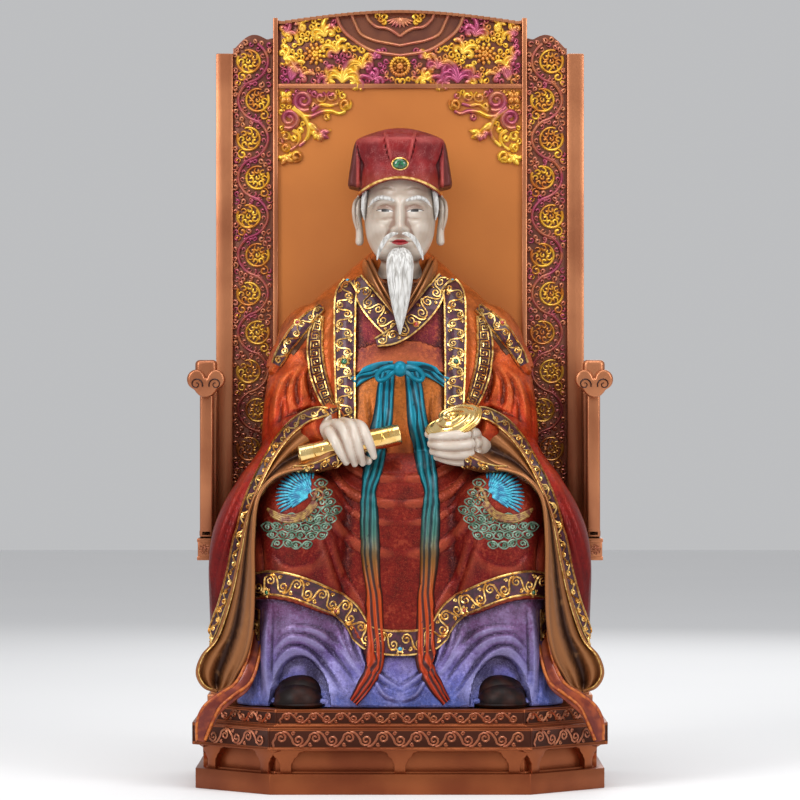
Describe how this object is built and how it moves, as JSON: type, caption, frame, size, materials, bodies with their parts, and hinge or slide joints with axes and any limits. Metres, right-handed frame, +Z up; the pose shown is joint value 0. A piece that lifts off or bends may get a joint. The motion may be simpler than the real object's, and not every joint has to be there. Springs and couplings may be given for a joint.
{
  "type": "seated medicine deity statue",
  "caption": "Painted cast copper statue of a bearded medicine god in layered robes, seated on a carved high-backed throne with a scroll and a mushroom, on a stepped plinth.",
  "frame": {"origin": "middle of the plinth's underside, at the centre of the bounding box in plan", "axes": "+Z up, the figure faces -Y, +X is the figure's left hand side"},
  "size_m": [0.3304, 0.2249, 0.6098],
  "materials": {
    "bronzed_copper": "satin copper-brown lacquer over cast copper, recesses darkened, carving tinted",
    "robe_lacquer": "speckled lacquer over cast copper, from orange-brown and crimson to violet, gilt trims",
    "gilt": "polished gilding",
    "green_stone": "polished cabochon",
    "red_stone": "polished cabochon",
    "blue_stone": "polished cabochon"
  },
  "bodies": {
    "root": {"plinth": "bronzed_copper", "throne_seat": "bronzed_copper", "throne_back": "bronzed_copper", "throne_arm_right": "bronzed_copper", "throne_arm_left": "bronzed_copper", "figure": "robe_lacquer", "scroll": "gilt", "mushroom": "gilt", "cap_stone": "green_stone", "lapel_stone_right": "green_stone", "lapel_stone_left": "green_stone", "shoulder_bead_right": "blue_stone", "shoulder_bead_left": "blue_stone", "collar_stone": "red_stone", "sleeve_stone_right": "red_stone", "sleeve_stone_left": "red_stone", "hem_green_stone_right": "green_stone", "hem_green_stone_left": "green_stone", "hem_red_stone_right": "red_stone", "hem_red_stone_left": "red_stone", "hem_blue_stone": "blue_stone"}
  },
  "joints": []
}
